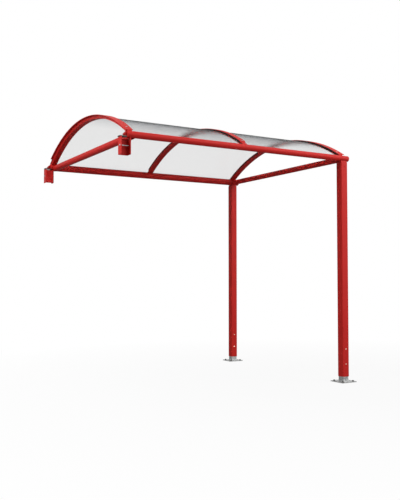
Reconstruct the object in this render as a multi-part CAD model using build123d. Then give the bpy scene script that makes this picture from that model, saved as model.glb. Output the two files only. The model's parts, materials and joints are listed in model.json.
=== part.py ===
from build123d import *
import os
from math import hypot

os.makedirs("parts", exist_ok=True)

# Add-on bay of a barrel-roofed bike shelter. The origin is the centre of the
# underside of the front foot plate. +X runs along the beams towards their capped
# ends, +Y from the front post to the rear post, +Z up. The end at -X has no posts:
# two clamps there grip the posts of the bay that this one extends.

# The bay as a whole
post_spacing = 2060.0
beam_axis_height = 2272.0
clamp_reach = 2420.0
overrun = 20.0

# Beams, the round tubes along X
front_beam_diameter = 60.0
rear_beam_diameter = 76.0
beam_wall = 3.0
beam_overhang_right = 70.0
beam_overhang_left = 24.0
weld_gap = 0.3

# Ties, the round tubes along Y
right_tie_diameter = 60.0
left_tie_diameter = 65.0
tie_wall = 3.0
right_tie_drop = 6.5
left_tie_drop = 8.5
left_tie_inset = 70.0

# Feet
foot_plate_side = 186.0
foot_plate_thickness = 8.0
foot_plate_corner = 6.0
anchor_pitch = 132.0
anchor_hole_diameter = 14.0
foot_stub_wall = 4.0
foot_stub_height = 380.0
foot_reveal = 48.0
slide_gap = 0.5

# Posts
post_side = 80.0
post_wall = 4.0
post_corner = 8.0
post_top_reveal = 12.0
lock_hole_diameter = 10.5
lower_lock_rise = 124.0
lock_pitch = 150.0

# Spigots under the beams, which the posts slide over
spigot_wall = 4.0
spigot_length = 150.0
spigot_saddle = 3.0
top_hole_diameter = 8.5
top_hole_drop = 52.0

# Barrel roof
arch_axis_height = 660.0
sheet_rise = 16.0
rib_width = 66.0
rib_depth = 10.0
rib_wall = 2.0
right_rib_inset = 13.0
middle_rib_offset = 5.0
left_rib_inset = 45.0
left_rib_setback = 14.0
sheet_thickness = 5.0
sheet_joint_gap = 6.0
sheet_edge_margin = 3.0
lower_seal_thickness = 2.0
upper_seal_thickness = 11.0
seal_width = 58.0
seal_foot_inset = 24.0
strip_thickness = 4.0
strip_width = 60.0
strip_foot_inset = 44.0
strip_gap = 0.3

# Toes, with which the cover strips stand on the beams
toe_width = 44.0
toe_thickness = 7.0
toe_inset = 4.0

# Drip edges along the free sides of the left and right cover strips, which run out over the beams
end_strip_inset = 0.0
lap_width = 17.0
lap_rear_inset = 68.0
lap_leg_thickness = 3.0
lap_leg_depth = 20.0
lap_leg_gap = 0.5

# Beam caps at the right end
cap_thickness = 6.0
cap_edge_radius = 4.0
cap_plug_length = 25.0
cap_plug_wall = 3.0
cap_gap = 0.2

# Round plates that close the left ends of the beams
end_plate_thickness = 6.0

# Post clamps at the left end
clamp_wall = 4.0
clamp_gap = 0.5
clamp_height = 152.0
clamp_rise = 5.0
clamp_lip = 30.0
clamp_bend_radius = 7.0
clamp_web_notch = 11.0
clamp_bolt_hole = 9.0
clamp_bolt_drop = 75.0
clamp_plate_thickness = 8.0
clamp_plate_overhang = 6.5
clamp_plate_front = 12.0
clamp_plate_corner = 4.0
gusset_thickness = 8.0
gusset_length = 42.0
gusset_height = 46.0
gusset_base_length = 25.0
gusset_tip_rise = 11.0
gusset_shoulder_run = 16.0
gusset_shoulder_rise = 37.0
gusset_hole_diameter = 9.0
gusset_hole_shares = ((0.22, 0.50), (0.60, 0.34))

# Heights and places that follow from the sizes above
post_bottom = foot_plate_thickness + foot_reveal
post_inside = post_side - 2 * post_wall
slide_side = post_inside - 2 * slide_gap
slide_corner = post_corner - post_wall
lock_heights = (post_bottom + lower_lock_rise, post_bottom + lower_lock_rise + lock_pitch)
front_beam_underside = beam_axis_height - front_beam_diameter / 2
top_hole_height = front_beam_underside - post_top_reveal - top_hole_drop
beam_left = beam_overhang_left - clamp_reach
beam_right = beam_overhang_right
left_tie_x = left_tie_inset - clamp_reach
tie_radii = {0.0: right_tie_diameter / 2, left_tie_x: left_tie_diameter / 2}
tie_heights = {0.0: beam_axis_height - right_tie_drop, left_tie_x: beam_axis_height - left_tie_drop}
right_rib_x = -right_rib_inset
left_rib_x = left_rib_inset - clamp_reach
middle_rib_x = (left_rib_x + right_rib_x) / 2 + middle_rib_offset
bay_middle = post_spacing / 2

# The roof sheets meet both beams a little outside their axes, which sets the radius of the barrel
sheet_inner_radius = hypot(bay_middle, beam_axis_height - arch_axis_height) + sheet_rise
sheet_outer_radius = sheet_inner_radius + sheet_thickness
rib_outer_radius = sheet_inner_radius - lower_seal_thickness
rib_inner_radius = rib_outer_radius - rib_depth
strip_inner_radius = sheet_outer_radius + upper_seal_thickness
strip_outer_radius = strip_inner_radius + strip_thickness
toe_inner_radius = sheet_outer_radius + strip_gap
toe_outer_radius = toe_inner_radius + toe_thickness

clamp_top = front_beam_underside + clamp_rise
clamp_plate_top = clamp_top + clamp_plate_thickness
clamp_half_inside = post_side / 2 + clamp_gap
clamp_half_outside = clamp_half_inside + clamp_wall
clamp_bolt_height = clamp_top - clamp_bolt_drop

# Front and rear lines of the bay
post_lines = {"front": 0.0, "rear": post_spacing}
beam_radii = {0.0: front_beam_diameter / 2, post_spacing: rear_beam_diameter / 2}
rear_mirror = Plane(origin=(0, bay_middle, 0), z_dir=(0, 1, 0))


def bar_along_x(radius, x_from, x_to, y, z):
    bar = Cylinder(radius, x_to - x_from, align=(Align.CENTER, Align.CENTER, Align.MIN))
    return Pos(x_from, y, z) * Rot(0, 90, 0) * bar


def bar_along_y(radius, y_from, y_to, x, z):
    bar = Cylinder(radius, y_to - y_from, align=(Align.CENTER, Align.CENTER, Align.MIN))
    return Pos(x, y_from, z) * Rot(-90, 0, 0) * bar


def square_bar(side, corner, z_from, z_to, y):
    return Pos(0, y, z_from) * extrude(RectangleRounded(side, side, corner), z_to - z_from)


def block(x_from, x_to, y_from, y_to, z_from, z_to):
    low_corner = (Align.MIN, Align.MIN, Align.MIN)
    return Pos(x_from, y_from, z_from) * Box(x_to - x_from, y_to - y_from, z_to - z_from, align=low_corner)


def barrel_band(inner_radius, outer_radius, x_from, x_to, foot_inset):
    # A stretch of the barrel between two radii, ending square at foot_inset inside each beam axis
    outer = bar_along_x(outer_radius, x_from, x_to, bay_middle, arch_axis_height)
    inner = bar_along_x(inner_radius, x_from, x_to, bay_middle, arch_axis_height)
    kept = block(
        x_from, x_to, foot_inset, post_spacing - foot_inset,
        arch_axis_height, arch_axis_height + outer_radius + overrun,
    )
    return (outer - inner) & kept


def screw_hole(diameter, y, z):
    # A hole through the front wall of a square tube that stands on the line y
    return bar_along_y(diameter / 2, y - post_side, y, 0, z)


def beam_underside(y):
    return beam_axis_height - beam_radii[y]


def post_top(y):
    return beam_underside(y) - post_top_reveal


def beam_room(y):
    # The space that a beam takes from what is welded to it
    room_radius = beam_radii[y] + weld_gap
    return bar_along_x(room_radius, beam_left - overrun, beam_right + overrun, y, beam_axis_height)


def tie_room(x):
    return bar_along_y(tie_radii[x] + weld_gap, -overrun, post_spacing + overrun, x, tie_heights[x])


def spigot_room(y):
    side = slide_side + 2 * weld_gap
    return square_bar(side, slide_corner, post_top(y) - spigot_length, beam_axis_height, y)


def post_room(y):
    side = post_side + 2 * weld_gap
    return square_bar(side, post_corner, post_bottom, post_top(y) + weld_gap, y)


def foot_plate(y):
    plate = square_bar(foot_plate_side, foot_plate_corner, 0, foot_plate_thickness, y)
    hole = Cylinder(anchor_hole_diameter / 2, foot_plate_thickness + 2 * overrun)
    for place in GridLocations(anchor_pitch, anchor_pitch, 2, 2):
        plate -= Pos(0, y, 0) * place * hole
    return plate


def foot_stub(y):
    top = foot_plate_thickness + foot_stub_height
    stub = square_bar(slide_side, slide_corner, foot_plate_thickness, top, y)
    inside = slide_side - 2 * foot_stub_wall
    stub -= square_bar(inside, slide_corner / 2, foot_plate_thickness - overrun, top + overrun, y)
    for height in lock_heights:
        stub -= screw_hole(lock_hole_diameter, y, height)
    return stub


def post(y):
    tube = square_bar(post_side, post_corner, post_bottom, post_top(y), y)
    tube -= square_bar(post_inside, slide_corner, post_bottom - overrun, post_top(y) + overrun, y)
    for height in lock_heights:
        tube -= screw_hole(lock_hole_diameter, y, height)
    return tube - screw_hole(top_hole_diameter, y, top_hole_height)


def spigot(y):
    bottom = post_top(y) - spigot_length
    top = beam_underside(y) + spigot_saddle
    tube = square_bar(slide_side, slide_corner, bottom, top, y)
    inside = slide_side - 2 * spigot_wall
    tube -= square_bar(inside, slide_corner / 2, bottom - overrun, top + overrun, y)
    tube -= screw_hole(top_hole_diameter, y, top_hole_height)
    return tube - beam_room(y)


def beam(y):
    tube = bar_along_x(beam_radii[y], beam_left, beam_right, y, beam_axis_height)
    bore = bar_along_x(
        beam_radii[y] - beam_wall, beam_left - overrun, beam_right + overrun, y, beam_axis_height
    )
    return tube - bore


def beam_cap(y):
    # A domed plug, pushed into the open end of the beam
    plug_radius = beam_radii[y] - beam_wall - cap_gap
    head = bar_along_x(beam_radii[y], beam_right, beam_right + cap_thickness, y, beam_axis_height)
    rim = head.edges().group_by(Axis.X)[-1]
    head = fillet(rim, cap_edge_radius)
    plug = bar_along_x(plug_radius, beam_right - cap_plug_length, beam_right, y, beam_axis_height)
    plug -= bar_along_x(
        plug_radius - cap_plug_wall, beam_right - cap_plug_length - overrun, beam_right, y, beam_axis_height
    )
    return head + plug


def tie(x, posts_below):
    tube = bar_along_y(tie_radii[x], 0, post_spacing, x, tie_heights[x])
    tube -= bar_along_y(tie_radii[x] - tie_wall, -overrun, post_spacing + overrun, x, tie_heights[x])
    for y in post_lines.values():
        tube -= beam_room(y)
        if posts_below:
            tube -= spigot_room(y)
            tube -= post_room(y)
    # What is left inside the spigots is waste: the long stretch is the tie
    return tube.solids().sort_by(SortBy.VOLUME)[-1]


def rib(x_from, x_to, tie_x):
    # A rolled flat tube, cut to butt against both beams and to clear the tie
    tube = barrel_band(rib_inner_radius, rib_outer_radius, x_from, x_to, 0)
    tube -= barrel_band(
        rib_inner_radius + rib_wall, rib_outer_radius - rib_wall, x_from + rib_wall, x_to - rib_wall, -overrun
    )
    for y in post_lines.values():
        tube -= beam_room(y)
    if tie_x is not None:
        tube -= tie_room(tie_x)
    return tube.solids().sort_by(SortBy.VOLUME)[-1]


def roof_sheet(x_from, x_to):
    sheet = barrel_band(sheet_inner_radius, sheet_outer_radius, x_from, x_to, 0)
    for y in post_lines.values():
        sheet -= beam_room(y)
    return sheet.solids().sort_by(SortBy.VOLUME)[-1]


def turned_down(x, foot_inset):
    # The end walls of a cover strip, which stand on the sheets or on the beams
    turn_inset = foot_inset + strip_thickness
    half = strip_width / 2
    walls = barrel_band(toe_inner_radius, strip_outer_radius, x - half, x + half, foot_inset)
    return walls - block(
        x - strip_width, x + strip_width, turn_inset, post_spacing - turn_inset,
        arch_axis_height, strip_outer_radius + arch_axis_height + overrun,
    )


def clear_of_beams(shape):
    for y in post_lines.values():
        shape -= beam_room(y)
    return shape


def cover_strip(x):
    # A flat cap whose ends turn down to the sheets and run on to the beams as narrower toes
    half = strip_width / 2
    half_toe = toe_width / 2
    ends = turned_down(x, strip_foot_inset)
    toes = barrel_band(toe_inner_radius, toe_outer_radius, x - half_toe, x + half_toe, toe_inset)
    turn_inset = strip_foot_inset + strip_thickness
    toes -= block(
        x - half, x + half, turn_inset, post_spacing - turn_inset,
        arch_axis_height, strip_outer_radius + arch_axis_height + overrun,
    )
    cap = barrel_band(strip_inner_radius, strip_outer_radius, x - half, x + half, strip_foot_inset)
    return clear_of_beams(ends + toes) + cap


def end_strip(x, lap_from, lap_to, leg_from):
    # A cap that runs out over both beams, with a lap along its free side and a leg down outside the rib
    half = strip_width / 2
    half_toe = toe_width / 2
    cap = barrel_band(strip_inner_radius, strip_outer_radius, x - half, x + half, end_strip_inset)
    toes = barrel_band(toe_inner_radius, strip_inner_radius, x - half_toe, x + half_toe, end_strip_inset)
    turn_inset = end_strip_inset + strip_thickness
    toes -= block(
        x - half, x + half, turn_inset, post_spacing - turn_inset,
        arch_axis_height, strip_outer_radius + arch_axis_height + overrun,
    )
    lap = barrel_band(strip_inner_radius, strip_outer_radius, lap_from, lap_to, end_strip_inset)
    lap -= block(
        lap_from, lap_to, post_spacing - lap_rear_inset, post_spacing + overrun,
        arch_axis_height, strip_outer_radius + arch_axis_height + overrun,
    )
    leg_bottom = strip_inner_radius - lap_leg_depth
    leg = barrel_band(leg_bottom, strip_inner_radius, leg_from, leg_from + lap_leg_thickness, seal_foot_inset)
    return clear_of_beams(cap + toes + lap + leg)


def end_plate(y):
    return bar_along_x(beam_radii[y], beam_left - end_plate_thickness, beam_left, y, beam_axis_height)


def front_clamp(beam_radius):
    # A folded channel, open to the front, that closes round three sides of a square post; its inner cheek
    # is cut to the underside of a beam of the given radius
    outside_depth = clamp_half_outside + clamp_lip
    outline = Pos(0, (clamp_half_outside - clamp_lip) / 2) * Rectangle(2 * clamp_half_outside, outside_depth)
    bends = outline.vertices().group_by(Axis.Y)[-1]
    outline = fillet(bends, clamp_bend_radius)
    inside_depth = clamp_half_inside + clamp_lip
    channel = Pos(0, (clamp_half_inside - clamp_lip) / 2) * Rectangle(2 * clamp_half_inside, inside_depth)
    folded = extrude(outline - channel, clamp_height)
    clamp = Pos(-clamp_reach, 0, clamp_top - clamp_height) * folded
    notch_half = clamp_half_outside - clamp_bend_radius
    clamp -= block(
        -clamp_reach - notch_half, -clamp_reach + notch_half, clamp_half_inside - clamp_gap,
        clamp_half_outside + overrun, clamp_top - clamp_web_notch, clamp_top + overrun,
    )
    cheek_top = beam_axis_height - beam_radius + clamp_rise
    beam_from = beam_left - end_plate_thickness - weld_gap
    beam_to = -clamp_reach + clamp_half_outside + overrun
    clamp -= block(
        beam_from, beam_to, -clamp_lip - overrun, clamp_half_outside + overrun, cheek_top, clamp_top + overrun
    )
    clamp -= bar_along_x(beam_radius + weld_gap, beam_from, beam_to, 0, beam_axis_height)
    clamp -= tie_room(left_tie_x)
    bolt_from = -clamp_reach - clamp_half_outside - overrun
    bolt_to = -clamp_reach + clamp_half_outside + overrun
    return clamp - bar_along_x(clamp_bolt_hole / 2, bolt_from, bolt_to, 0, clamp_bolt_height)


def front_clamp_plate():
    # Lies on the outer cheek of the clamp and reaches to the end of the beam
    x_from = -clamp_reach - clamp_half_outside - clamp_plate_overhang
    x_to = beam_left - end_plate_thickness - weld_gap
    plate = block(x_from, x_to, -clamp_plate_front, clamp_half_inside, clamp_top, clamp_plate_top)
    free_corners = plate.edges().filter_by(Axis.Z).group_by(Axis.X)[0]
    return fillet(free_corners, clamp_plate_corner)


def front_gusset():
    # An upright web that ties the clamp plate to the end of the beam
    x_root = beam_left - end_plate_thickness
    web = Polyline(
        (x_root, clamp_plate_top), (x_root - gusset_base_length, clamp_plate_top),
        (x_root - gusset_length, clamp_plate_top + gusset_tip_rise),
        (x_root - gusset_shoulder_run, clamp_plate_top + gusset_shoulder_rise),
        (x_root, clamp_plate_top + gusset_height), close=True,
    )
    face = Plane.XZ * make_face(web)
    gusset = extrude(face, gusset_thickness / 2, both=True)
    for along_share, up_share in gusset_hole_shares:
        hole_x = x_root - along_share * gusset_length
        hole_z = clamp_plate_top + up_share * gusset_height
        gusset -= bar_along_y(
            gusset_hole_diameter / 2, -gusset_thickness, gusset_thickness, hole_x, hole_z
        )
    return gusset


def save(name, shape):
    export_step(shape, f"parts/{name}.step")


# Pieces that stand on the front and rear lines
for side, y in post_lines.items():
    save(f"{side}_foot_plate", foot_plate(y))
    save(f"{side}_foot_stub", foot_stub(y))
    save(f"{side}_post", post(y))
    save(f"{side}_post_spigot", spigot(y))
    save(f"{side}_beam", beam(y))
    save(f"{side}_beam_cap", beam_cap(y))
    save(f"{side}_beam_end_plate", end_plate(y))

# The clamps at the left end, mirrored from front to rear
save("front_clamp", front_clamp(beam_radii[0.0]))
save("rear_clamp", mirror(front_clamp(beam_radii[post_spacing]), about=rear_mirror))
for name, shape in {"clamp_plate": front_clamp_plate(), "clamp_gusset": front_gusset()}.items():
    save(f"front_{name}", shape)
    save(f"rear_{name}", mirror(shape, about=rear_mirror))

# Ties
save("right_tie", tie(0, True))
save("left_tie", tie(left_tie_x, False))

# Ribs, with a seal under and over the sheets; the left rib is narrower on its free side
half_rib = rib_width / 2
half_seal = seal_width / 2
rib_places = {"left": left_rib_x, "middle": middle_rib_x, "right": right_rib_x}
tie_places = {"left": left_tie_x, "middle": None, "right": 0.0}
setbacks = {"left": left_rib_setback, "middle": 0.0, "right": 0.0}
middle_seal_inset = strip_foot_inset + strip_thickness + strip_gap
upper_insets = {"left": seal_foot_inset, "middle": middle_seal_inset, "right": seal_foot_inset}
for name, x in rib_places.items():
    save(f"{name}_rib", rib(x - half_rib + setbacks[name], x + half_rib, tie_places[name]))
    seal_from = x - half_seal + setbacks[name]
    seal_to = x + half_seal
    lower_seal = barrel_band(rib_outer_radius, sheet_inner_radius, seal_from, seal_to, seal_foot_inset)
    save(f"{name}_lower_seal", lower_seal)
    upper_seal = barrel_band(sheet_outer_radius, strip_inner_radius, seal_from, seal_to, upper_insets[name])
    save(f"{name}_upper_seal", upper_seal)

# Cover strips
half_strip = strip_width / 2
left_lap_to = left_rib_x - half_strip
left_leg_from = left_rib_x - half_rib + left_rib_setback - lap_leg_gap - lap_leg_thickness
right_lap_from = right_rib_x + half_strip
right_leg_from = right_rib_x + half_rib + lap_leg_gap
save("left_cover_strip", end_strip(left_rib_x, left_lap_to - lap_width, left_lap_to, left_leg_from))
save("middle_cover_strip", cover_strip(middle_rib_x))
save("right_cover_strip", end_strip(right_rib_x, right_lap_from, right_lap_from + lap_width, right_leg_from))

# Roof sheets, butted over the middle rib
sheet_reach = half_rib - sheet_edge_margin
half_joint = sheet_joint_gap / 2
left_sheet_from = left_rib_x - sheet_reach + left_rib_setback
save("left_roof_sheet", roof_sheet(left_sheet_from, middle_rib_x - half_joint))
save("right_roof_sheet", roof_sheet(middle_rib_x + half_joint, right_rib_x + sheet_reach))
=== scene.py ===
import json
from math import atan2, cos, hypot, pi, radians, sin, sqrt
import bpy
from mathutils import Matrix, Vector


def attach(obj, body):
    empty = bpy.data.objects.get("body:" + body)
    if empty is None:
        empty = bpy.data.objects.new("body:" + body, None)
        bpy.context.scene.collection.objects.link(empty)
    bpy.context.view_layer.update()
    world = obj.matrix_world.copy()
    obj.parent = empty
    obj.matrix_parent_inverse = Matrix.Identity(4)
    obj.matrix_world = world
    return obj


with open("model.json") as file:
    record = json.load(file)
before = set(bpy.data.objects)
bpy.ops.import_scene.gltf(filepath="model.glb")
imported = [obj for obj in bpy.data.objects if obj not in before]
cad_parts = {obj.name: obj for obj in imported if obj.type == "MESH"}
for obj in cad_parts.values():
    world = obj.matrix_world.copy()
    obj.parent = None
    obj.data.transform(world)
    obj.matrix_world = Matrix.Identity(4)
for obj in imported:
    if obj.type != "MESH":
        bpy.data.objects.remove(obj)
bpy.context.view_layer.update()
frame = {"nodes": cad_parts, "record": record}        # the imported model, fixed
nodes = frame["nodes"]
mm = 0.001               # sizes below are in millimetres unless a note says metres
white = (1, 1, 1, 1)
scene = bpy.context.scene
scene.view_settings.view_transform = "Standard"
print("frame loaded:", len(nodes), "nodes")


def hexColour(code):
    # sRGB hex to linear RGBA
    parts = [int(code[i:i + 2], 16) / 255 for i in (1, 3, 5)]
    linear = [p / 12.92 if p <= 0.04045 else ((p + 0.055) / 1.055) ** 2.4 for p in parts]
    return (*linear, 1.0)


def addNode(tree, kind, inputs=None, **settings):
    # one node with its settings; an input is either a value or another node's output;
    # a Mix node's inputs go by number: 0 share, 2 and 3 numbers, 4 and 5 vectors, 6 and 7 colours
    node = tree.nodes.new(kind)
    for key, value in settings.items():
        setattr(node, key, value)
    for key, value in (inputs or {}).items():
        if isinstance(value, bpy.types.NodeSocket):
            tree.links.new(value, node.inputs[key])
        else:
            node.inputs[key].default_value = value
    return node


def startMaterial(name):
    # an empty material, its tree, and the Object coordinates that its patterns read
    material = bpy.data.materials.new(name)
    material.use_nodes = True
    tree = material.node_tree
    tree.nodes.clear()
    return material, tree, addNode(tree, "ShaderNodeTexCoord").outputs["Object"]


def perMetre(sizeMm):
    # texture scale for a pattern whose cells are that size
    return 1 / (sizeMm * mm)


# Camera, at the photograph's viewpoint
photoCamera = {
    "place": (-4.786, -5.334, 1.051),    # metres
    "turn": 30.2,                        # degrees from +Y towards +X
    "tilt": 2.303,                       # degrees up
    "focalPixels": 688.5,
    "imageHeight": 500,
    "sensor": 36.0,
}
cameraData = bpy.data.cameras.new("photoCamera")
cameraData.sensor_width = photoCamera["sensor"]
cameraData.lens = photoCamera["focalPixels"] / photoCamera["imageHeight"] * photoCamera["sensor"]
cameraObject = bpy.data.objects.new("photoCamera", cameraData)
cameraObject.location = photoCamera["place"]
cameraObject.rotation_euler = (radians(90 + photoCamera["tilt"]), 0, radians(-photoCamera["turn"]))
scene.collection.objects.link(cameraObject)
scene.camera = cameraObject
print("camera set")

# Studio: white surroundings, soft lamps, a pale floor
studio = {
    "ambient": 0.05,
    "ambientColour": "#F4F6F8",
    "lamps": {
        # name: (place, aim, size in metres, watts)
        "frontRightKey": ((6.2, -7.4, 4.2), (-0.6, 0.4, 1.6), 4.5, 370),
        "nearRight": ((2.5, -3.0, 6.5), (0.0, 0.5, 1.8), 3.0, 250),
        "frontSoft": ((-1.0, -7.5, 5.0), (-1.0, 0.8, 1.8), 4.0, 250),
        "leftHigh": ((-6.5, -0.5, 5.2), (-1.2, 1.0, 1.6), 2.0, 190),
        "leftLow": ((-7.0, 0.5, 2.8), (-1.8, 1.0, 1.9), 2.0, 65),
        "leftNear": ((-6.0, 0.0, 3.8), (-2.2, 1.0, 2.1), 2.0, 35),
    },
    "floorSize": 60.0,                   # metres
    "floorColour": "#A8A8A8",
    "floorInGloss": 0.1,                 # how white the floor is where gloss shows it
    "shadowFrom": 1.0,                   # metres from the front foot where the shadow starts to fade
    "shadowReach": 5.0,                  # metres where it has gone
    "shadowShare": 0.07,
}


def seenStraight(tree, glossShare):
    # 1 where the camera sees the surroundings, also through the sheets and, by the given share, in gloss;
    # 0 once the path has met a dull surface, so that this white lights nothing
    path = addNode(tree, "ShaderNodeLightPath").outputs
    seen = addNode(tree, "ShaderNodeMath", {0: path["Is Camera Ray"], 1: path["Is Transmission Ray"]},
                   operation="MAXIMUM")
    gloss = addNode(tree, "ShaderNodeMath", {0: path["Is Glossy Ray"], 1: glossShare}, operation="MULTIPLY")
    seen = addNode(tree, "ShaderNodeMath", {0: seen.outputs[0], 1: gloss.outputs[0]}, operation="MAXIMUM")
    direct = addNode(tree, "ShaderNodeMath", {0: path["Diffuse Depth"], 1: 0.5}, operation="LESS_THAN")
    seen = addNode(tree, "ShaderNodeMath", {0: seen.outputs[0], 1: direct.outputs[0]}, operation="MULTIPLY")
    return seen.outputs[0]


def buildWorld():
    world = bpy.data.worlds.new("studio")
    scene.world = world
    world.use_nodes = True
    tree = world.node_tree
    tree.nodes.clear()
    seen = seenStraight(tree, 1.0)
    light = addNode(tree, "ShaderNodeBackground", {
        "Color": hexColour(studio["ambientColour"]), "Strength": studio["ambient"],
    })
    shown = addNode(tree, "ShaderNodeBackground", {"Color": white, "Strength": 1.0})
    mix = addNode(tree, "ShaderNodeMixShader", {0: seen, 1: light.outputs[0], 2: shown.outputs[0]})
    addNode(tree, "ShaderNodeOutputWorld", {"Surface": mix.outputs[0]})


def buildLamps():
    for name, (place, aim, size, watts) in studio["lamps"].items():
        lamp = bpy.data.lights.new(name, "AREA")
        lamp.size = size
        lamp.energy = watts
        lampObject = bpy.data.objects.new(name, lamp)
        lampObject.location = place
        lampObject.rotation_euler = (Vector(aim) - Vector(place)).to_track_quat("-Z", "Y").to_euler()
        scene.collection.objects.link(lampObject)


def buildFloor():
    half = studio["floorSize"] / 2
    mesh = bpy.data.meshes.new("floor")
    corners = [(-half, -half, 0), (half, -half, 0), (half, half, 0), (-half, half, 0)]
    mesh.from_pydata(corners, [], [(0, 1, 2, 3)])
    floor = bpy.data.objects.new("floor", mesh)
    scene.collection.objects.link(floor)
    material, tree, place = startMaterial("paleFloor")
    seen = seenStraight(tree, studio["floorInGloss"])
    # the shadow fades out with distance, so that the floor runs into the white surroundings
    away = addNode(tree, "ShaderNodeVectorMath", {0: place}, operation="LENGTH")
    fade = addNode(tree, "ShaderNodeMapRange", {
        "Value": away.outputs["Value"], "From Min": studio["shadowFrom"], "From Max": studio["shadowReach"],
        "To Min": 1 - studio["shadowShare"], "To Max": 1.0,
    })
    share = addNode(tree, "ShaderNodeMath", {0: seen, 1: fade.outputs[0]}, operation="MULTIPLY")
    lit = addNode(tree, "ShaderNodeBsdfDiffuse", {"Color": hexColour(studio["floorColour"])})
    shown = addNode(tree, "ShaderNodeEmission", {"Color": white, "Strength": 1.0})
    mix = addNode(tree, "ShaderNodeMixShader", {0: share.outputs[0], 1: lit.outputs[0], 2: shown.outputs[0]})
    addNode(tree, "ShaderNodeOutputMaterial", {"Surface": mix.outputs[0]})
    mesh.materials.append(material)


buildWorld()
buildLamps()
buildFloor()
print("studio built")


# Finishes: colours, pattern sizes in millimetres and the range of roughness stand beside each one

redCoat = {"dark": "#AC1E1B", "light": "#BC241F", "peel": 6, "drift": 350, "rough": (0.46, 0.56)}


def redPowderCoat():
    # polyester powder baked on steel tube: an even satin red with a faint orange peel;
    # the real peel is about 2 mm, drawn at 6 mm so that it shows
    c = redCoat
    material, tree, place = startMaterial("redPowderCoat")
    peel = addNode(tree, "ShaderNodeTexNoise", {"Vector": place, "Scale": perMetre(c["peel"]), "Detail": 2.0})
    bump = addNode(tree, "ShaderNodeBump", {
        "Height": peel.outputs[0], "Strength": 0.06, "Distance": 0.3 * mm,
    })
    drift = addNode(tree, "ShaderNodeTexNoise", {
        "Vector": place, "Scale": perMetre(c["drift"]), "Detail": 3.0,
    })
    tone = addNode(tree, "ShaderNodeMix", {
        0: drift.outputs[0], 6: hexColour(c["dark"]), 7: hexColour(c["light"]),
    }, data_type="RGBA")
    gloss = addNode(tree, "ShaderNodeMapRange", {
        "Value": drift.outputs[0], "To Min": c["rough"][0], "To Max": c["rough"][1],
    })
    shader = addNode(tree, "ShaderNodeBsdfPrincipled", {
        "Base Color": tone.outputs[2], "Roughness": gloss.outputs[0], "IOR": 1.5, "Specular IOR Level": 0.11,
        "Normal": bump.outputs[0],
    })
    addNode(tree, "ShaderNodeOutputMaterial", {"Surface": shader.outputs[0]})
    return material


nylonCap = {"dark": "#9C1B19", "light": "#AB201D", "grain": 3}


def redNylonCap():
    # injection-moulded nylon: a touch darker than the coat, with a fine spark grain,
    # 0.5 mm on the real cap and drawn at 3 mm so that it shows
    c = nylonCap
    material, tree, place = startMaterial("redNylonCap")
    grain = addNode(tree, "ShaderNodeTexNoise", {
        "Vector": place, "Scale": perMetre(c["grain"]), "Detail": 3.0,
    })
    bump = addNode(tree, "ShaderNodeBump", {
        "Height": grain.outputs[0], "Strength": 0.12, "Distance": 0.2 * mm,
    })
    tone = addNode(tree, "ShaderNodeMix", {
        0: grain.outputs[0], 6: hexColour(c["dark"]), 7: hexColour(c["light"]),
    }, data_type="RGBA")
    shader = addNode(tree, "ShaderNodeBsdfPrincipled", {
        "Base Color": tone.outputs[2], "Roughness": 0.45, "IOR": 1.53, "Specular IOR Level": 0.3,
        "Normal": bump.outputs[0],
    })
    addNode(tree, "ShaderNodeOutputMaterial", {"Surface": shader.outputs[0]})
    return material


zincDip = {
    "dark": "#8C8E8E", "light": "#BBBCBB", "crystal": 18, "warp": 30, "warpShare": 0.004,
    "mottle": 60, "mottleShare": 0.45, "rough": (0.36, 0.52),
}


def galvanisedSteel():
    # hot-dip zinc on steel: pale grey crystals of 18 mm, each with its own tone and gloss, and a soft mottle
    c = zincDip
    material, tree, place = startMaterial("galvanisedSteel")
    warp = addNode(tree, "ShaderNodeTexNoise", {"Vector": place, "Scale": perMetre(c["warp"]), "Detail": 2.0})
    bent = addNode(tree, "ShaderNodeMix", {0: c["warpShare"], 4: place, 5: warp.outputs["Color"]},
                   data_type="VECTOR")
    spangle = addNode(tree, "ShaderNodeTexVoronoi", {
        "Vector": bent.outputs[1], "Scale": perMetre(c["crystal"]),
    })
    crystal = addNode(tree, "ShaderNodeSeparateColor", {0: spangle.outputs["Color"]})
    mottle = addNode(tree, "ShaderNodeTexNoise", {
        "Vector": place, "Scale": perMetre(c["mottle"]), "Detail": 4.0,
    })
    blend = addNode(tree, "ShaderNodeMix", {0: c["mottleShare"], 2: crystal.outputs[0], 3: mottle.outputs[0]})
    tone = addNode(tree, "ShaderNodeMix", {
        0: blend.outputs[0], 6: hexColour(c["dark"]), 7: hexColour(c["light"]),
    }, data_type="RGBA")
    gloss = addNode(tree, "ShaderNodeMapRange", {
        "Value": crystal.outputs[1], "To Min": c["rough"][0], "To Max": c["rough"][1],
    })
    bump = addNode(tree, "ShaderNodeBump", {
        "Height": blend.outputs[0], "Strength": 0.08, "Distance": 0.3 * mm,
    })
    shader = addNode(tree, "ShaderNodeBsdfPrincipled", {
        "Base Color": tone.outputs[2], "Metallic": 0.75, "Roughness": gloss.outputs[0],
        "Normal": bump.outputs[0],
    })
    addNode(tree, "ShaderNodeOutputMaterial", {"Surface": shader.outputs[0]})
    return material


# dark grey tones of painted shade, for the clamp plates, anchor nuts and set screws
paintedShadePlate = {
    "dark": "#2E2E2D", "light": "#54534F", "streak": 3, "streakDraw": (0.08, 1, 1),
    "oxide": 25, "oxideShare": 0.5, "rough": (0.42, 0.65),
}


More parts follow.
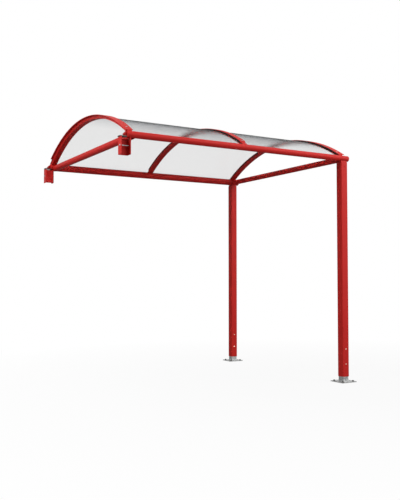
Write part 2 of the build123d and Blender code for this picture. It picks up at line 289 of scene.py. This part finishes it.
def paintedShadeZincPlate():
    # rolled plate with a zinc coat, drawn dark grey: this dark tone is painted shade, taken from how the
    # plate, the anchor nuts and the sunk set screws look in shade; with rolling streaks along X and patches
    # of dull oxide
    c = paintedShadePlate
    material, tree, place = startMaterial("paintedShadeZincPlate")
    drawn = addNode(tree, "ShaderNodeMapping", {"Vector": place, "Scale": c["streakDraw"]})
    streak = addNode(tree, "ShaderNodeTexNoise", {
        "Vector": drawn.outputs[0], "Scale": perMetre(c["streak"]), "Detail": 3.0,
    })
    oxide = addNode(tree, "ShaderNodeTexNoise", {
        "Vector": place, "Scale": perMetre(c["oxide"]), "Detail": 4.0,
    })
    blend = addNode(tree, "ShaderNodeMix", {0: c["oxideShare"], 2: streak.outputs[0], 3: oxide.outputs[0]})
    tone = addNode(tree, "ShaderNodeMix", {
        0: blend.outputs[0], 6: hexColour(c["dark"]), 7: hexColour(c["light"]),
    }, data_type="RGBA")
    gloss = addNode(tree, "ShaderNodeMapRange", {
        "Value": oxide.outputs[0], "To Min": c["rough"][0], "To Max": c["rough"][1],
    })
    bump = addNode(tree, "ShaderNodeBump", {
        "Height": streak.outputs[0], "Strength": 0.1, "Distance": 0.2 * mm,
    })
    shader = addNode(tree, "ShaderNodeBsdfPrincipled", {
        "Base Color": tone.outputs[2], "Metallic": 0.7, "Roughness": gloss.outputs[0],
        "Normal": bump.outputs[0],
    })
    addNode(tree, "ShaderNodeOutputMaterial", {"Surface": shader.outputs[0]})
    return material


blackSeal = {"dark": "#0E0E0E", "light": "#1D1D1C", "line": 8, "bloom": 40}


def epdmRubber():
    # extruded EPDM: matt black with fine lines along the extrusion and a little bloom
    c = blackSeal
    material, tree, place = startMaterial("epdmRubber")
    lines = addNode(tree, "ShaderNodeTexWave", {
        "Vector": place, "Scale": perMetre(c["line"]), "Distortion": 0.4,
    }, bands_direction="X")
    bloom = addNode(tree, "ShaderNodeTexNoise", {
        "Vector": place, "Scale": perMetre(c["bloom"]), "Detail": 4.0,
    })
    bump = addNode(tree, "ShaderNodeBump", {
        "Height": lines.outputs["Fac"], "Strength": 0.2, "Distance": 0.3 * mm,
    })
    tone = addNode(tree, "ShaderNodeMix", {
        0: bloom.outputs[0], 6: hexColour(c["dark"]), 7: hexColour(c["light"]),
    }, data_type="RGBA")
    shader = addNode(tree, "ShaderNodeBsdfPrincipled", {
        "Base Color": tone.outputs[2], "Roughness": 0.8, "IOR": 1.5, "Specular IOR Level": 0.2,
        "Normal": bump.outputs[0],
    })
    addNode(tree, "ShaderNodeOutputMaterial", {"Surface": shader.outputs[0]})
    return material


clearSheet = {
    "square": "#F4F4F4", "edgeOn": "#C0C2C4", "slant": (0.7, 1.0),
    "line": 25, "lineDraw": (1, 0.05, 0.05), "glossShare": 0.04,
}


def polycarbonateSheet():
    # extruded polycarbonate, frosted clear, with faint lines along the arch: blurs what is behind it, and
    # darkens where it is seen edge on, because the light then has a longer way through it
    c = clearSheet
    material, tree, place = startMaterial("polycarbonateSheet")
    drawn = addNode(tree, "ShaderNodeMapping", {"Vector": place, "Scale": c["lineDraw"]})
    lines = addNode(tree, "ShaderNodeTexNoise", {
        "Vector": drawn.outputs[0], "Scale": perMetre(c["line"]), "Detail": 2.0,
    })
    bump = addNode(tree, "ShaderNodeBump", {
        "Height": lines.outputs[0], "Strength": 0.05, "Distance": 0.5 * mm,
    })
    slant = addNode(tree, "ShaderNodeLayerWeight", {"Blend": 0.5})
    depth = addNode(tree, "ShaderNodeMapRange", {
        "Value": slant.outputs["Facing"], "From Min": c["slant"][0], "From Max": c["slant"][1],
        "To Min": 0.0, "To Max": 1.0,
    })
    tone = addNode(tree, "ShaderNodeMix", {
        0: depth.outputs[0], 6: hexColour(c["square"]), 7: hexColour(c["edgeOn"]),
    }, data_type="RGBA")
    through = addNode(tree, "ShaderNodeBsdfRefraction", {
        "Color": tone.outputs[2], "Roughness": 0.11, "IOR": 1.12, "Normal": bump.outputs[0],
    })
    skin = addNode(tree, "ShaderNodeBsdfGlossy", {
        "Color": white, "Roughness": 0.3, "Normal": bump.outputs[0],
    })
    shader = addNode(tree, "ShaderNodeMixShader", {
        0: c["glossShare"], 1: through.outputs[0], 2: skin.outputs[0],
    })
    addNode(tree, "ShaderNodeOutputMaterial", {"Surface": shader.outputs[0]})
    return material


# electroplated zinc on bolts and nuts: cool grey with cloudy patches
brightZinc = {"dark": "#727475", "light": "#9EA1A2", "cloud": 12, "detail": 3.0, "rough": (0.28, 0.42)}
# yellow-passivated zinc, drawn pale straw with a faint pink drift: the paleness and the pink are a painted
# highlight, set from the bright dots the heads show among the red coat
paleHighlightZinc = {"dark": "#F0D6C2", "light": "#D8C0AE", "cloud": 6, "detail": 2.0, "rough": (0.25, 0.4)}


def zincPlating(name, c):
    # a thin bright coat on small steel parts, its tone and gloss drifting together
    material, tree, place = startMaterial(name)
    cloud = addNode(tree, "ShaderNodeTexNoise", {
        "Vector": place, "Scale": perMetre(c["cloud"]), "Detail": c["detail"],
    })
    tone = addNode(tree, "ShaderNodeMix", {
        0: cloud.outputs[0], 6: hexColour(c["dark"]), 7: hexColour(c["light"]),
    }, data_type="RGBA")
    gloss = addNode(tree, "ShaderNodeMapRange", {
        "Value": cloud.outputs[0], "To Min": c["rough"][0], "To Max": c["rough"][1],
    })
    shader = addNode(tree, "ShaderNodeBsdfPrincipled", {
        "Base Color": tone.outputs[2], "Metallic": 1.0, "Roughness": gloss.outputs[0],
    })
    addNode(tree, "ShaderNodeOutputMaterial", {"Surface": shader.outputs[0]})
    return material


finishes = {
    "red_powder_coat": redPowderCoat(),
    "red_plastic_cap": redNylonCap(),
    "galvanised_steel": galvanisedSteel(),
    "dark_steel": paintedShadeZincPlate(),
    "black_rubber": epdmRubber(),
    "clear_sheet": polycarbonateSheet(),
}
boltZinc = zincPlating("brightZinc", brightZinc)
screwZinc = zincPlating("paleHighlightZinc", paleHighlightZinc)
for subpart in frame["record"]["subparts"]:
    nodes[subpart["node"]].data.materials.clear()
    nodes[subpart["node"]].data.materials.append(finishes[subpart["material_slot"]])
print("materials set")


# Geometry Nodes: fasteners on marked points, and weld beads along lines

def newTree(name, sockets):
    tree = bpy.data.node_groups.new(name, "GeometryNodeTree")
    tree.interface.new_socket("Geometry", in_out="INPUT", socket_type="NodeSocketGeometry")
    for label, kind in sockets.items():
        tree.interface.new_socket(label, in_out="INPUT", socket_type=kind)
    tree.interface.new_socket("Geometry", in_out="OUTPUT", socket_type="NodeSocketGeometry")
    return tree, addNode(tree, "NodeGroupInput").outputs


def fastenerTree():
    # sets one form on every point, upright along the point's aim, at a turn of its own
    tree, given = newTree("fastenerField", {
        "Form": "NodeSocketObject", "Turn Seed": "NodeSocketInt", "Finish": "NodeSocketMaterial",
    })
    form = addNode(tree, "GeometryNodeObjectInfo", {"Object": given["Form"]})
    aim = addNode(tree, "GeometryNodeInputNamedAttribute", {"Name": "aim"}, data_type="FLOAT_VECTOR")
    upright = addNode(tree, "FunctionNodeAlignRotationToVector", {"Vector": aim.outputs[0]}, axis="Z")
    # inputs 2 and 3 are the least and the most of a plain random number
    turn = addNode(tree, "FunctionNodeRandomValue", {2: 0.0, 3: 2 * pi, "Seed": given["Turn Seed"]},
                   data_type="FLOAT")
    about = addNode(tree, "FunctionNodeAxisAngleToRotation", {"Axis": (0, 0, 1), "Angle": turn.outputs[1]})
    turned = addNode(tree, "FunctionNodeRotateRotation",
                     {"Rotation": upright.outputs[0], "Rotate By": about.outputs[0]}, rotation_space="LOCAL")
    placed = addNode(tree, "GeometryNodeInstanceOnPoints", {
        "Points": given["Geometry"], "Instance": form.outputs["Geometry"], "Rotation": turned.outputs[0],
    })
    real = addNode(tree, "GeometryNodeRealizeInstances", {"Geometry": placed.outputs[0]})
    done = addNode(tree, "GeometryNodeSetMaterial", {
        "Geometry": real.outputs[0], "Material": given["Finish"],
    })
    addNode(tree, "NodeGroupOutput", {"Geometry": done.outputs[0]})
    return tree


weldRipple = {"step": 2.5, "cell": 6, "swell": (0.7, 1.3), "sides": 8}


def weldTree():
    # a rippled bead along each line
    tree, given = newTree("weldBead", {
        "Bead Radius": "NodeSocketFloat", "Step": "NodeSocketFloat", "Ripple Scale": "NodeSocketFloat",
        "Finish": "NodeSocketMaterial",
    })
    line = addNode(tree, "GeometryNodeMeshToCurve", {"Mesh": given["Geometry"]})
    even = addNode(tree, "GeometryNodeResampleCurve", {"Curve": line.outputs[0], "Length": given["Step"]},
                   mode="LENGTH")
    ripple = addNode(tree, "ShaderNodeTexNoise", {"Scale": given["Ripple Scale"], "Detail": 1.0})
    swell = addNode(tree, "ShaderNodeMapRange", {
        "Value": ripple.outputs[0], "To Min": weldRipple["swell"][0], "To Max": weldRipple["swell"][1],
    })
    swollen = addNode(tree, "GeometryNodeSetCurveRadius", {
        "Curve": even.outputs[0], "Radius": swell.outputs[0],
    })
    ring = addNode(tree, "GeometryNodeCurvePrimitiveCircle", {
        "Resolution": weldRipple["sides"], "Radius": given["Bead Radius"],
    })
    bead = addNode(tree, "GeometryNodeCurveToMesh", {
        "Curve": swollen.outputs[0], "Profile Curve": ring.outputs[0], "Fill Caps": True,
    })
    smooth = addNode(tree, "GeometryNodeSetShadeSmooth", {"Geometry": bead.outputs[0]})
    real = addNode(tree, "GeometryNodeRealizeInstances", {"Geometry": smooth.outputs[0]})
    done = addNode(tree, "GeometryNodeSetMaterial", {
        "Geometry": real.outputs[0], "Material": given["Finish"],
    })
    addNode(tree, "NodeGroupOutput", {"Geometry": done.outputs[0]})
    return tree


def settle(name, mesh, tree, values):
    # runs the tree once and keeps its result as a plain mesh on the one body
    piece = bpy.data.objects.new(name, mesh)
    scene.collection.objects.link(piece)
    modifier = piece.modifiers.new("build", "NODES")
    modifier.node_group = tree
    sockets = {item.name: item.identifier for item in tree.interface.items_tree if item.in_out == "INPUT"}
    for label, value in values.items():
        modifier[sockets[label]] = value
    graph = bpy.context.evaluated_depsgraph_get()
    result = bpy.data.meshes.new_from_object(piece.evaluated_get(graph))
    piece.modifiers.clear()
    piece.data = result
    result.name = name
    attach(piece, "root")
    return piece


def turnedForm(name, rings, sides=24):
    # a closed form from rings of (radius, height), with "hex" where the radius is half across flats
    mesh = bpy.data.meshes.new(name)
    points, faces = [], []
    for radius, height, *kind in rings:
        for i in range(sides):
            angle = 2 * pi * i / sides
            reach = radius / cos((angle + pi / 6) % (pi / 3) - pi / 6) if kind else radius
            points.append((reach * cos(angle) * mm, reach * sin(angle) * mm, height * mm))
    for level in range(len(rings) - 1):
        low = level * sides
        for i in range(sides):
            after = (i + 1) % sides
            faces.append((low + i, low + after, low + sides + after, low + sides + i))
    faces.append(tuple(range(sides - 1, -1, -1)))
    faces.append(tuple(len(points) - sides + i for i in range(sides)))
    mesh.from_pydata(points, [], faces)
    return bpy.data.objects.new(name, mesh)


def markedPoints(name, places):
    # bare points in millimetres, each with the way its fastener faces
    mesh = bpy.data.meshes.new(name)
    mesh.from_pydata([Vector(place) * mm for place, aim in places], [], [])
    aims = mesh.attributes.new("aim", "FLOAT_VECTOR", "POINT")
    for item, (place, aim) in zip(aims.data, places):
        item.vector = aim
    return mesh


fasteners = fastenerTree()


def fastenerPiece(name, rings, places, finish, seed):
    form = turnedForm(name + "Form", rings)
    values = {"Form": form, "Turn Seed": seed, "Finish": finish}
    piece = settle(name, markedPoints(name + "Points", places), fasteners, values)
    bpy.data.objects.remove(form)
    return piece


thread = {"root": 0.92, "tip": 0.8}      # shares of a thread's outer radius
nutCrown = 0.94                          # round top of a nut, as a share of its half across flats
postSpacing = 2060.0
postLines = (0.0, postSpacing)


def threadRings(radius, start, end, pitch):
    # ridges of a coarse thread, drawn as rings
    root = radius * thread["root"]
    rings, height = [], start
    while height + pitch <= end:
        rings += [(root, height), (radius, height + pitch / 2)]
        height += pitch
    return rings + [(root, height), (radius * thread["tip"], end)]


def nutSide(b, seat):
    # thread end, nut and washer under a bolted plate, from the tip up to the plate's face at -seat
    nutFrom = seat + b["washerThickness"]
    nutTo = nutFrom + b["nutHeight"]
    tail = threadRings(b["shankRadius"], nutTo, nutTo + b["tail"], b["threadPitch"])
    rings = [(radius, -height) for radius, height in reversed(tail)]
    rings += [(b["halfFlats"] * nutCrown, -nutTo), (b["halfFlats"], b["chamfer"] - nutTo, "hex")]
    rings += [(b["halfFlats"], -nutFrom, "hex"), (b["washerRadius"], -nutFrom)]
    return rings + [(b["washerRadius"], -seat), (b["shankRadius"], -seat)]


# Anchor bolts with washer and low nut at the corners of the foot plates
anchors = {
    "pitch": 132.0, "plateTop": 8.0, "washerRadius": 12.0, "washerThickness": 2.0, "halfFlats": 9.0,
    "nutHeight": 6.0, "chamfer": 1.4, "studRadius": 6.0, "studStanding": 2.4, "threadPitch": 1.2,
}


def anchorRings():
    a = anchors
    nutFrom = a["washerThickness"]
    nutTo = nutFrom + a["nutHeight"]
    rings = [(a["washerRadius"], 0), (a["washerRadius"], nutFrom), (a["halfFlats"], nutFrom, "hex")]
    rings += [(a["halfFlats"], nutTo - a["chamfer"], "hex"), (a["halfFlats"] * nutCrown, nutTo)]
    return rings + threadRings(a["studRadius"], nutTo, nutTo + a["studStanding"], a["threadPitch"])


corner = anchors["pitch"] / 2
anchorPlaces = [((x, y + dy, anchors["plateTop"]), (0, 0, 1))
                for y in postLines for x in (-corner, corner) for dy in (-corner, corner)]
# the anchor nuts take the dark steel finish, whose dark grey is painted shade
fastenerPiece("anchorBolts", anchorRings(), anchorPlaces, finishes["dark_steel"], 3)

# Button-head screws that lock the posts on the foot stubs
lockScrews = {
    "heights": (180.0, 330.0), "face": -40.0, "headRadius": 6.5, "headHeight": 3.6, "socketHalfFlats": 2.4,
}
# outline of a button head, and the floor of its socket, as shares of its radius and height
buttonOutline = ((0.94, 0.0), (1.0, 0.16), (0.97, 0.34), (0.86, 0.62), (0.68, 0.86), (0.5, 1.0))
socketFloor = 0.3


def buttonRings(screw):
    radius, height, socket = screw["headRadius"], screw["headHeight"], screw["socketHalfFlats"]
    rings = [(radius * wide, height * high) for wide, high in buttonOutline]
    return rings + [(socket, height, "hex"), (socket, height * socketFloor, "hex")]


lockPlaces = [((0, y + lockScrews["face"], z), (0, -1, 0)) for y in postLines for z in lockScrews["heights"]]
# these screws take the pale zinc, whose pale pinkish tone is a painted highlight
fastenerPiece("postLockScrews", buttonRings(lockScrews), lockPlaces, screwZinc, 5)

# Set screws sunk in the top holes of the posts
setScrews = {
    "height": 2178.0, "sunkFace": -36.5, "radius": 4.1, "depth": 6.0, "tipRadius": 3.28, "tipHeight": 1.0,
    "rimRadius": 3.608, "rimHeight": 0.6, "socketHalfFlats": 2.0, "socketDepth": 2.5,
}


def setScrewRings():
    s = setScrews
    rings = [(s["tipRadius"], -s["depth"]), (s["radius"], s["tipHeight"] - s["depth"])]
    rings += [(s["radius"], -s["rimHeight"]), (s["rimRadius"], 0)]
    return rings + [(s["socketHalfFlats"], 0, "hex"), (s["socketHalfFlats"], -s["socketDepth"], "hex")]


setPlaces = [((0, y + setScrews["sunkFace"], setScrews["height"]), (0, -1, 0)) for y in postLines]
# the set screws take the dark steel finish, whose dark grey is painted shade
fastenerPiece("postSetScrews", setScrewRings(), setPlaces, finishes["dark_steel"], 7)

# Cross bolts of the clamps: round head outside, bare shank across the channel, nut inside
clampBolts = {
    "x": -2420.0, "height": 2172.0, "halfOutside": 44.5, "headRadius": 9.0, "headHeight": 4.6,
    "shankRadius": 4.0, "washerRadius": 9.0, "washerThickness": 1.8, "halfFlats": 6.5, "nutHeight": 6.8,
    "chamfer": 1.4, "tail": 4.0, "threadPitch": 1.25,
    # outline of the domed head, as shares of its radius and height
    "dome": ((1.0, 0.0), (1.0, 0.18), (0.93, 0.45), (0.75, 0.75), (0.5, 0.93), (0.2, 1.0)),
}


def clampBoltRings():
    b = clampBolts
    rings = nutSide(b, b["halfOutside"]) + [(b["shankRadius"], b["halfOutside"])]
    for wide, high in b["dome"]:
        rings.append((b["headRadius"] * wide, b["halfOutside"] + b["headHeight"] * high))
    return rings


clampPlaces = [((clampBolts["x"], y, clampBolts["height"]), (-1, 0, 0)) for y in postLines]
fastenerPiece("clampCrossBolts", clampBoltRings(), clampPlaces, boltZinc, 11)

# Short bolts through the gussets, coated over with the frame
gussetBolts = {
    "places": ((-2411.24, 2278.0), (-2427.2, 2270.64)), "halfThickness": 4.0, "halfFlats": 5.0,
    "headHeight": 4.0, "headCrown": 0.92, "washerRadius": 6.2, "washerThickness": 1.4, "nutHeight": 5.0,
    "chamfer": 1.0, "shankRadius": 3.4, "tail": 2.4, "threadPitch": 1.0,
}


def gussetBoltRings():
    b = gussetBolts
    face = b["halfThickness"]
    washer = face + b["washerThickness"]
    headTo = washer + b["headHeight"]
    rings = nutSide(b, face) + [(b["shankRadius"], face)]
    rings += [(b["washerRadius"], face), (b["washerRadius"], washer)]
    rings += [(b["halfFlats"], washer, "hex"), (b["halfFlats"], headTo - b["chamfer"], "hex")]
    return rings + [(b["halfFlats"] * b["headCrown"], headTo)]


gussetPlaces = [((x, y, z), (0, way, 0))
                for y, way in zip(postLines, (-1, 1)) for x, z in gussetBolts["places"]]
fastenerPiece("gussetBolts", gussetBoltRings(), gussetPlaces, finishes["red_powder_coat"],
              13)

# The barrel of the roof: its axis height and the radii of its layers
barrel = {"axisHeight": 660.0, "beamHeight": 2272.0, "ribInner": 1916.97, "stripOuter": 1948.97}
beamRadii = {0.0: 30.0, postSpacing: 38.0}
ribPlaces = {"left": -2375.0, "middle": -1189.0, "right": -13.0}
ribSides = {"left": (-19.0, 33.0), "middle": (-33.0, 33.0), "right": (-33.0, 33.0)}

# Screws that hold down the ends of the cover strips
stripScrews = {"inset": 60.0, "headRadius": 7.0, "headHeight": 3.4, "socketHalfFlats": 2.2}


def onBarrel(radius, inset):
    # height of a barrel layer above the ground, and the way it faces, at a distance inside
    # the front beam's axis
    across = inset - postSpacing / 2
    rise = sqrt(radius ** 2 - across ** 2)
    return barrel["axisHeight"] + rise, Vector((0, across, rise)).normalized()


stripPlaces = []
for x in ribPlaces.values():
    for inset in (stripScrews["inset"], postSpacing - stripScrews["inset"]):
        height, outward = onBarrel(barrel["stripOuter"], inset)
        stripPlaces.append(((x, inset, height), outward))
fastenerPiece("stripEndScrews", buttonRings(stripScrews), stripPlaces, boltZinc, 17)
print("fasteners set")


# Weld beads
beads = weldTree()


def weldPiece(name, lines, radius, finish):
    mesh = bpy.data.meshes.new(name + "Lines")
    points, edges = [], []
    for line in lines:
        first = len(points)
        points += [Vector(p) * mm for p in line]
        edges += [(i, i + 1) for i in range(first, len(points) - 1)]
    mesh.from_pydata(points, edges, [])
    values = {
        "Bead Radius": radius * mm, "Step": weldRipple["step"] * mm,
        "Ripple Scale": perMetre(weldRipple["cell"]), "Finish": finish,
    }
    return settle(name, mesh, beads, values)


footWelds = {"half": 35.5, "corner": 4.0, "height": 8.0, "bead": 3.2, "steps": 32}


def footWeldLine(y):
    # once round the foot stub
    straight = footWelds["half"] - footWelds["corner"]
    line = []
    for step in range(footWelds["steps"] + 1):
        angle = 2 * pi * step / footWelds["steps"]
        x = straight * (1 if cos(angle) > 0 else -1) + footWelds["corner"] * cos(angle)
        dy = straight * (1 if sin(angle) > 0 else -1) + footWelds["corner"] * sin(angle)
        line.append((x, y + dy, footWelds["height"]))
    return line


weldPiece("footWelds", [footWeldLine(y) for y in postLines], footWelds["bead"], finishes["galvanised_steel"])

frameWelds = {
    "bead": 2.4,
    # each tie: place along X, axis height, radius, and the sweep of its weld in degrees
    "ties": ((-2350.0, 2263.5, 32.5, (-36, 216)), (0.0, 2265.5, 30.0, (-28, 208))),
    "tieSteps": 40,
    "spigotHalf": 35.5, "spigotSpread": 12.0, "spigotSteps": 12,
    "gussetRoot": -2402.0, "gussetBase": 25.0, "gussetTop": 44.0, "clampPlateTop": 2255.0,
}


def inward(y):
    return 1 if y == 0 else -1


def tieWeldLine(tie, y):
    # where a tie meets a beam
    x, axisHeight, radius, sweep = tie
    line = []
    for step in range(frameWelds["tieSteps"] + 1):
        angle = radians(sweep[0] + (sweep[1] - sweep[0]) * step / frameWelds["tieSteps"])
        height = axisHeight + radius * sin(angle)
        reach = sqrt(beamRadii[y] ** 2 - (height - barrel["beamHeight"]) ** 2)
        line.append((x + radius * cos(angle), y + inward(y) * reach, height))
    return line


def ribWeldLine(name, y):
    # along the underside of a rib, where it butts against a beam
    up = barrel["beamHeight"] - barrel["axisHeight"]
    span = hypot(postSpacing / 2, up)
    along = (span ** 2 + beamRadii[y] ** 2 - barrel["ribInner"] ** 2) / (2 * span)
    off = sqrt(beamRadii[y] ** 2 - along ** 2)
    toAxis = atan2(-up, postSpacing / 2)
    reach = along * cos(toAxis) - off * sin(toAxis)
    height = barrel["beamHeight"] + along * sin(toAxis) + off * cos(toAxis)
    return [(ribPlaces[name] + side, y + inward(y) * reach, height) for side in ribSides[name]]


def spigotWeldLine(side, y):
    # along the underside of a beam, on a wall of the spigot
    w = frameWelds
    line = []
    for step in range(w["spigotSteps"] + 1):
        dy = w["spigotSpread"] * (2 * step / w["spigotSteps"] - 1)
        height = barrel["beamHeight"] - sqrt(beamRadii[y] ** 2 - dy ** 2)
        line.append((side * w["spigotHalf"], y + dy, height))
    return line


def gussetWeldLine(side, y):
    # out along the foot of a gusset, and up its root
    w = frameWelds
    dy = y + side * gussetBolts["halfThickness"]
    root, foot = w["gussetRoot"], w["clampPlateTop"]
    return [(root - w["gussetBase"], dy, foot), (root, dy, foot), (root, dy, foot + w["gussetTop"])]


frameLines = []
for y in postLines:
    frameLines += [tieWeldLine(tie, y) for tie in frameWelds["ties"]]
    frameLines += [ribWeldLine(name, y) for name in ribPlaces]
    for side in (-1, 1):
        frameLines.append(spigotWeldLine(side, y))
        frameLines.append(gussetWeldLine(side, y))
weldPiece("frameWelds", frameLines, frameWelds["bead"], finishes["red_powder_coat"])
print("welds set")
